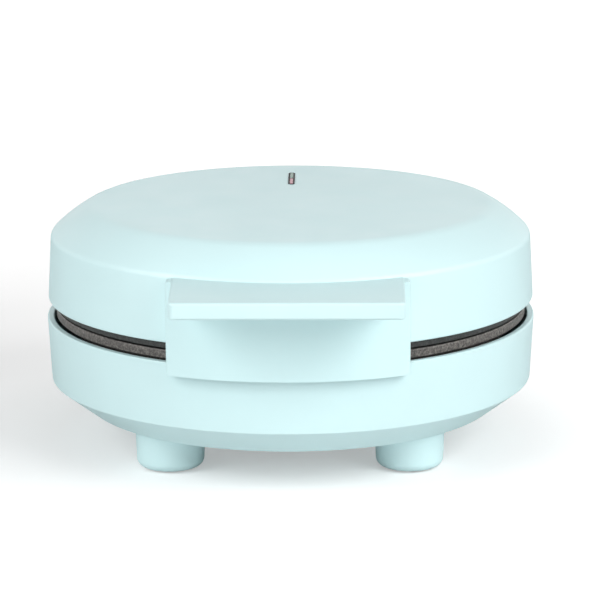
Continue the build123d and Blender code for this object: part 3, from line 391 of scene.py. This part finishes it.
# %% Give each node its finish
finishes = {
    mint: ["upper_housing", "lower_housing", "handle"],
    upper_coating_and_painted_shade: ["upper_plate"],
    lower_coating: ["lower_plate"],
    rubber: ["foot_pads", "cord_gland"],
    zinc: [
        "lower_plate_screws", "upper_plate_screws", "handle_screws", "thermostat_screws",
        "earth_screw", "cord_clamp_screws", "lamp_holder_screws", "hinge_pins",
    ],
    sheet_steel: ["lower_heat_shield", "upper_heat_shield", "thermostat_strap", "fuse_clip"],
    sheath: ["lower_heater", "upper_heater"],
    ceramic: ["lower_heater_terminals", "upper_heater_terminals", "terminal_block"],
    black_plastic: ["thermostat", "cord_clamp"],
    window_frame: ["window_bezel"],
    sleeve: ["thermal_fuse", "hinge_conduit"],
    insulation: ["lower_leads", "supply_leads", "upper_leads"],
    nylon: ["hinge_bushes"],
    white_plastic: ["lamp_holder"],
    green: ["green_lens"],
    red: ["red_lens"],
    lamp: ["signal_lamps"],
}


def paint(piece, material):
    """Give the whole piece one material."""
    piece.data.materials.clear()
    piece.data.materials.append(material)


for material, names in finishes.items():
    for name in names:
        paint(nodes[name], material)
print("nodes finished", sum(len(names) for names in finishes.values()))

# %% [markdown]
# A CAD mesh comes as separate triangles with normals of their own. The large pieces are copied and
# their double points merged, after which the old normals no longer fit and are dropped. The copy is
# shaded smooth up to a fold angle and stands for the node. The large faces rule the shading, so
# that a flat stays flat right up to a rounded edge.

# %% Smooth copies of the large pieces
weld_reach = 1e-6


def apply_modifiers(piece):
    """Make the evaluated mesh the piece's own and take its modifiers off."""
    bpy.context.view_layer.update()
    evaluated = piece.evaluated_get(bpy.context.evaluated_depsgraph_get())
    result = bpy.data.meshes.new_from_object(evaluated)
    result.name = piece.name
    piece.modifiers.clear()
    piece.data = result


def weigh_normals(piece):
    """Let large faces rule the smooth shading, so that flats stay flat beside their rounds."""
    weight = piece.modifiers.new("weighted_normals", "WEIGHTED_NORMAL")
    weight.mode = "FACE_AREA"
    weight.weight = 100
    weight.keep_sharp = True
    apply_modifiers(piece)


def smooth_copy(node, piece_name, fold=32.0):
    """A merged, smooth-shaded copy of a CAD node that stands for it."""
    mesh = nodes[node].data.copy()
    old_normals = mesh.attributes.get("custom_normal")
    if old_normals:
        mesh.attributes.remove(old_normals)
    form = bmesh.new()
    form.from_mesh(mesh)
    bmesh.ops.remove_doubles(form, verts=form.verts, dist=weld_reach)
    form.to_mesh(mesh)
    form.free()
    piece = bpy.data.objects.new(piece_name, mesh)
    bpy.context.scene.collection.objects.link(piece)
    mesh.shade_smooth()
    mesh.set_sharp_from_angle(angle=math.radians(fold))
    weigh_normals(piece)
    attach(piece, nodes[node]["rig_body"])
    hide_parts(node)
    return piece


for node in ("upper_housing", "lower_housing", "handle", "upper_plate", "lower_plate"):
    piece = smooth_copy(node, node + "_dressed")
    print(piece.name, len(piece.data.vertices), "points")

# %% [markdown]
# Pieces that repeat a small form are made with geometry nodes. A group takes a plain mesh, puts the
# form at its points or along its line, and gives back one mesh, which becomes the piece. Copies made
# by hand would do the same, but here a size can be changed in one place.

# %% Helpers for pieces made with geometry nodes
def new_group(name, settings):
    """A geometry node group with a geometry in and out and named settings."""
    group = bpy.data.node_groups.new(name, "GeometryNodeTree")
    group.interface.new_socket("Geometry", in_out="INPUT", socket_type="NodeSocketGeometry")
    for label, kind, value in settings:
        socket = group.interface.new_socket(label, in_out="INPUT", socket_type=kind)
        socket.default_value = value
    group.interface.new_socket("Geometry", in_out="OUTPUT", socket_type="NodeSocketGeometry")
    return group, group.nodes.new("NodeGroupInput"), group.nodes.new("NodeGroupOutput")


def wired(group, kind, values=(), links=()):
    """One node of a group, with its plain values set and its inputs linked."""
    node = group.nodes.new(kind)
    for socket, value in values:
        node.inputs[socket].default_value = value
    for socket, source in links:
        group.links.new(source, node.inputs[socket])
    return node


def finish_group(group, output, geometry, material):
    """Shade the group's geometry smooth, give it its material and send it out."""
    shaded = wired(group, "GeometryNodeSetShadeSmooth", links=[("Geometry", geometry)])
    links = [("Geometry", shaded.outputs["Geometry"])]
    painted = wired(group, "GeometryNodeSetMaterial", [("Material", material)], links)
    group.links.new(painted.outputs["Geometry"], output.inputs["Geometry"])


def grown_piece(name, points, edges, group, body, stands_for):
    """Run a group on a mesh of points and make its result a piece of a body."""
    mesh = bpy.data.meshes.new(name)
    mesh.from_pydata(points, edges, [])
    piece = bpy.data.objects.new(name, mesh)
    bpy.context.scene.collection.objects.link(piece)
    piece.modifiers.new("grow", "NODES").node_group = group
    apply_modifiers(piece)
    if body:
        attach(piece, body)
    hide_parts(stands_for)
    print(name, len(piece.data.polygons), "faces")
    return piece


# %% [markdown]
# The wires cross the hinge in a ribbed sleeve. Its route leaves the base, turns up behind the hinge
# axis and goes into the lid, with two even bends that a loop works out.

# %% Route of the sleeve over the hinge
sleeve_low, sleeve_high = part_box("hinge_conduit")
rib_reach = (sleeve_high.x - sleeve_low.x) / 2
rib_wire = 0.00032
rib_pitch = 0.00105
sleeve_bend = 0.0075
low_run = sleeve_low.z + rib_reach
high_run = sleeve_high.z - rib_reach
rear_run = sleeve_high.y - rib_reach
route = [(0, sleeve_low.y, low_run)]
bend_steps = 10
for centre_z, first_turn in ((low_run + sleeve_bend, -90), (high_run - sleeve_bend, 0)):
    for step in range(bend_steps + 1):
        turn = math.radians(first_turn + 90 * step / bend_steps)
        y = rear_run - sleeve_bend + sleeve_bend * math.cos(turn)
        route.append((0, y, centre_z + sleeve_bend * math.sin(turn)))
route.append((0, sleeve_low.y, high_run))
route_length = sum(math.dist(a, b) for a, b in zip(route, route[1:]))
print("sleeve route", round(route_length, 4), "m long with", len(route), "points")

# %% [markdown]
# Relief in the material alone would leave the sleeve's outline smooth, so each rib is a small ring,
# placed square to the route, and a tube inside them closes the sleeve.

# %% Ribbed sleeve
ring_steps = 20
wire_steps = 8
settings = [
    ("Ribs", "NodeSocketInt", int(route_length / rib_pitch)),
    ("Reach", "NodeSocketFloat", rib_reach - rib_wire),
    ("Wire", "NodeSocketFloat", rib_wire),
]
group, given, output = new_group("ribbed_sleeve", settings)
run = wired(group, "GeometryNodeMeshToCurve", links=[("Mesh", given.outputs["Geometry"])])
links = [("Curve", run.outputs["Curve"]), ("Count", given.outputs["Ribs"])]
beads = wired(group, "GeometryNodeResampleCurve", links=links)
tangent = wired(group, "GeometryNodeInputTangent")
links = [("Vector", tangent.outputs["Tangent"])]
aligned = wired(group, "FunctionNodeAlignRotationToVector", links=links)
links = [("Radius", given.outputs["Reach"])]
ring = wired(group, "GeometryNodeCurvePrimitiveCircle", [("Resolution", ring_steps)], links)
links = [("Radius", given.outputs["Wire"])]
wire = wired(group, "GeometryNodeCurvePrimitiveCircle", [("Resolution", wire_steps)], links)
links = [("Curve", ring.outputs["Curve"]), ("Profile Curve", wire.outputs["Curve"])]
rib = wired(group, "GeometryNodeCurveToMesh", links=links)
links = [
    ("Points", beads.outputs["Curve"]),
    ("Instance", rib.outputs["Mesh"]),
    ("Rotation", aligned.outputs["Rotation"]),
]
ribs = wired(group, "GeometryNodeInstanceOnPoints", links=links)
links = [("Geometry", ribs.outputs["Instances"])]
solid_ribs = wired(group, "GeometryNodeRealizeInstances", links=links)
links = [("Curve", run.outputs["Curve"]), ("Profile Curve", ring.outputs["Curve"])]
tube = wired(group, "GeometryNodeCurveToMesh", [("Fill Caps", True)], links)
joined = wired(group, "GeometryNodeJoinGeometry")
group.links.new(tube.outputs["Mesh"], joined.inputs["Geometry"])
group.links.new(solid_ribs.outputs["Geometry"], joined.inputs["Geometry"])
finish_group(group, output, joined.outputs["Geometry"], sleeve)
chain = [(n, n + 1) for n in range(len(route) - 1)]
conduit = grown_piece("ribbed_conduit", route, chain, group, None, "hinge_conduit")
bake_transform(conduit)

# %% [markdown]
# Each foot stands on a rubber pad with two round grooves below. The grooves could be cut out of a
# disc, but a profile turned about an axis, as on a lathe, gives cleaner faces.

# %% Profile of a rubber pad
pads_low, pads_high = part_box("foot_pads")
pad_radius = 0.0092
pad_edge = 0.0004
edge_sink = 0.3 * pad_edge
groove_middles = (0.0035, 0.0066)
groove_mouth_half = 0.0008
groove_floor_half = 0.0005
groove_depth = 0.0005
corner = (pads_high.x - pads_low.x) / 2 - pad_radius
pad_top = pads_high.z
profile = [(0, 0)]
for groove in groove_middles:
    profile += [(groove - groove_mouth_half, 0), (groove - groove_floor_half, groove_depth)]
    profile += [(groove + groove_floor_half, groove_depth), (groove + groove_mouth_half, 0)]
profile += [(pad_radius - pad_edge, 0), (pad_radius - edge_sink, edge_sink)]
profile += [(pad_radius, pad_edge), (pad_radius, pad_top), (0, pad_top)]
print("pad profile of", len(profile), "points")


# %% [markdown]
# The lathe joins each ring of points to the next. Where the profile meets the axis the ring is one
# point, and the faces there are triangles. The four pads stand at the corners of a square.

# %% Turn the pad and set out four
def lathe(name, outline, steps):
    """A closed form turned from (radius, height) points that start and end on the axis."""
    form = bmesh.new()
    rings = []
    for radius, height in outline:
        if radius == 0:
            rings.append([form.verts.new((0, 0, height))])
        else:
            turns = [2 * math.pi * step / steps for step in range(steps)]
            spots = [(radius * math.cos(turn), radius * math.sin(turn), height) for turn in turns]
            rings.append([form.verts.new(spot) for spot in spots])
    for below, above in zip(rings, rings[1:]):
        for step in range(steps):
            after = (step + 1) % steps
            if len(below) == 1:
                form.faces.new((below[0], above[after], above[step]))
            elif len(above) == 1:
                form.faces.new((below[step], below[after], above[0]))
            else:
                form.faces.new((below[step], below[after], above[after], above[step]))
    bmesh.ops.recalc_face_normals(form, faces=form.faces)
    mesh = bpy.data.meshes.new(name)
    form.to_mesh(mesh)
    form.free()
    mesh.shade_smooth()
    mesh.set_sharp_from_angle(angle=math.radians(40))
    return bpy.data.objects.new(name, mesh)


pad_steps = 48
pad_form = lathe("pad_form", profile, pad_steps)
group, given, output = new_group("four_pads", [("Pad", "NodeSocketObject", pad_form)])
links = [("Object", given.outputs["Pad"])]
form_in = wired(group, "GeometryNodeObjectInfo", [("As Instance", True)], links)
links = [("Points", given.outputs["Geometry"]), ("Instance", form_in.outputs["Geometry"])]
placed = wired(group, "GeometryNodeInstanceOnPoints", links=links)
links = [("Geometry", placed.outputs["Instances"])]
real = wired(group, "GeometryNodeRealizeInstances", links=links)
links = [("Geometry", real.outputs["Geometry"])]
painted = wired(group, "GeometryNodeSetMaterial", [("Material", rubber)], links)
group.links.new(painted.outputs["Geometry"], output.inputs["Geometry"])
places = [(x, axis_y + y, 0) for x in (-corner, corner) for y in (-corner, corner)]
grown_piece("grooved_pads", places, [], group, "base", "foot_pads")

# %% [markdown]
# The studio has a pale floor that catches the object's shadow. In a photograph it turns to plain
# white away from the object. More lamps would wash out the object too, so the floor's own shader
# adds that white, for the camera alone. The added white is least below the object and less on the
# left than on the right, which paints shade onto the floor: deeper shade around the object's own
# shadow, and a soft painted shadow on the left.

# %% Floor
floor_mesh = bpy.data.meshes.new("floor")
reach = 6.0
corners = [(-reach, -reach, 0), (reach, -reach, 0), (reach, reach, 0), (-reach, reach, 0)]
floor_mesh.from_pydata(corners, [], [(0, 1, 2, 3)])
floor = bpy.data.objects.new("floor", floor_mesh)
bpy.context.scene.collection.objects.link(floor)

floor_shade = 0.78
painted_shade_glow_below = 0.33
painted_shade_glow_left = 0.50
glow_right = 0.73
side_spread = (-0.16, 0.14)
shadow_spread = (0.09, 0.17)
white_spread = (0.3, 0.8)
floor_material = bpy.data.materials.new("pale_floor")
floor_material.use_nodes = True
floor_tree = floor_material.node_tree
floor_tree.nodes.clear()
output = floor_tree.nodes.new("ShaderNodeOutputMaterial")
diffuse = floor_tree.nodes.new("ShaderNodeBsdfDiffuse")
diffuse.inputs["Color"].default_value = (floor_shade, floor_shade, floor_shade, 1)
floor_place = floor_tree.nodes.new("ShaderNodeTexCoord").outputs["Object"]
floor_split = floor_tree.nodes.new("ShaderNodeSeparateXYZ")
floor_tree.links.new(floor_place, floor_split.inputs["Vector"])
floor_radius = floor_tree.nodes.new("ShaderNodeVectorMath")
floor_radius.operation = "LENGTH"
floor_tree.links.new(floor_place, floor_radius.inputs[0])


def floor_range(value, spread, levels):
    """A level that runs from one value to another over a spread of metres."""
    node = floor_tree.nodes.new("ShaderNodeMapRange")
    node.inputs["From Min"].default_value = spread[0]
    node.inputs["From Max"].default_value = spread[1]
    floor_tree.links.new(value, node.inputs["Value"])
    for socket, level in zip(("To Min", "To Max"), levels):
        if isinstance(level, float):
            node.inputs[socket].default_value = level
        else:
            floor_tree.links.new(level, node.inputs[socket])
    return node.outputs["Result"]


# Painted shade: less glow on the left, and least around and below the object.
beside = floor_range(floor_split.outputs["X"], side_spread, (painted_shade_glow_left, glow_right))
around = floor_range(floor_radius.outputs["Value"], shadow_spread, (painted_shade_glow_below, beside))
glow_level = floor_range(floor_radius.outputs["Value"], white_spread, (around, 1.0))
rays = floor_tree.nodes.new("ShaderNodeLightPath")
seen = floor_tree.nodes.new("ShaderNodeMath")
seen.operation = "MULTIPLY"
floor_tree.links.new(rays.outputs["Is Camera Ray"], seen.inputs[0])
floor_tree.links.new(glow_level, seen.inputs[1])
glow = floor_tree.nodes.new("ShaderNodeEmission")
floor_tree.links.new(seen.outputs["Value"], glow.inputs["Strength"])
both = floor_tree.nodes.new("ShaderNodeAddShader")
floor_tree.links.new(diffuse.outputs["BSDF"], both.inputs[0])
floor_tree.links.new(glow.outputs["Emission"], both.inputs[1])
floor_tree.links.new(both.outputs["Shader"], output.inputs["Surface"])
paint(floor, floor_material)
print("floor", 2 * reach, "m wide")

# %% [markdown]
# Around the floor there is nothing but the world's background. It is white to the camera and
# through glass, and bright in reflections, which gives the plastic its sheen. It adds no diffuse
# light, so that the soft boxes decide the shading.

# %% Surround
surround_diffuse = 0.0
surround_glossy = 1.45
world = bpy.data.worlds.new("surround")
bpy.context.scene.world = world
world.use_nodes = True
sky = world.node_tree
backdrop = sky.nodes["Background"]
backdrop.inputs["Color"].default_value = (1, 1, 1, 1)
light_path = sky.nodes.new("ShaderNodeLightPath")
mirrored = sky.nodes.new("ShaderNodeMapRange")
mirrored.inputs["To Min"].default_value = surround_diffuse
mirrored.inputs["To Max"].default_value = surround_glossy
sky.links.new(light_path.outputs["Is Glossy Ray"], mirrored.inputs["Value"])
through = sky.nodes.new("ShaderNodeMath")
through.operation = "MAXIMUM"
sky.links.new(light_path.outputs["Is Camera Ray"], through.inputs[0])
sky.links.new(light_path.outputs["Is Transmission Ray"], through.inputs[1])
level = sky.nodes.new("ShaderNodeMath")
level.operation = "MAXIMUM"
sky.links.new(through.outputs["Value"], level.inputs[0])
sky.links.new(mirrored.outputs["Result"], level.inputs[1])
sky.links.new(level.outputs["Value"], backdrop.inputs["Strength"])
print("surround", surround_glossy, "bright in reflections")

# %% [markdown]
# Soft boxes are large square lamps, so shadows have soft edges. Each one is given by where it stands
# as seen from the object: its angle from the front towards the right, its height angle, its
# distance, its width and its power. The two strong ones light the front from both sides, the right
# one more. A weak one stands at the right end, and a low one reaches the feet and the slope below
# the wall.

# %% Soft boxes
soft_boxes = [
    ("key_box", 50, 30, 1.7, 1.0, 20.6),
    ("fill_box", -60, 29, 1.7, 1.0, 17.9),
    ("side_box", 85, 30, 1.6, 0.9, 4.0),
    ("low_box", -6, 4, 1.6, 0.5, 5.6),
]
aim_height = 0.055
for name, turn, climb, distance, width, watts in soft_boxes:
    data = bpy.data.lights.new(name, "AREA")
    data.size = width
    data.energy = watts
    box = bpy.data.objects.new(name, data)
    bpy.context.scene.collection.objects.link(box)
    flat_reach = distance * math.cos(math.radians(climb))
    aside = flat_reach * math.sin(math.radians(turn))
    ahead = flat_reach * math.cos(math.radians(turn))
    up = distance * math.sin(math.radians(climb))
    towards = Vector((aside, -ahead, up))
    box.location = towards + Vector((0, axis_y, aim_height))
    box.rotation_mode = "QUATERNION"
    box.rotation_quaternion = (-towards).to_track_quat("-Z", "Y")
print("soft boxes placed", len(soft_boxes))
